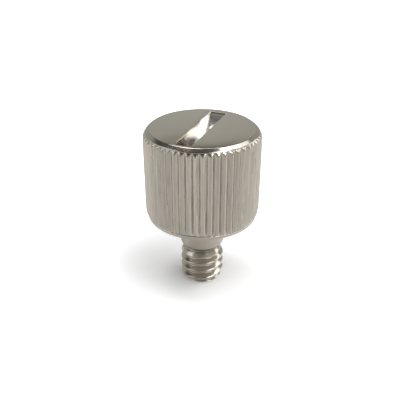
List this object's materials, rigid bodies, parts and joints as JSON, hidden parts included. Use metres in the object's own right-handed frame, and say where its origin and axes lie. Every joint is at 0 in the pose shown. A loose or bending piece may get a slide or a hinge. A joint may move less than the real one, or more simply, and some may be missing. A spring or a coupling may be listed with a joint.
{
  "type": "knurled thumb screw",
  "caption": "Knurled thumb screw with a dished coin slot in its head, a plain neck, a relief groove and a short threaded end.",
  "frame": {"origin": "middle of the flat at the screw's tip, which it stands on", "axes": "+Z along the screw's axis, from the tip towards the head; the coin slot runs 22 degrees clockwise from +Y, seen from above"},
  "size_m": [0.016, 0.016, 0.0236],
  "materials": {
    "plated_metal": "bright nickel plate over fine turning marks"
  },
  "bodies": {
    "root": {"thumb_screw": "plated_metal"}
  },
  "joints": []
}
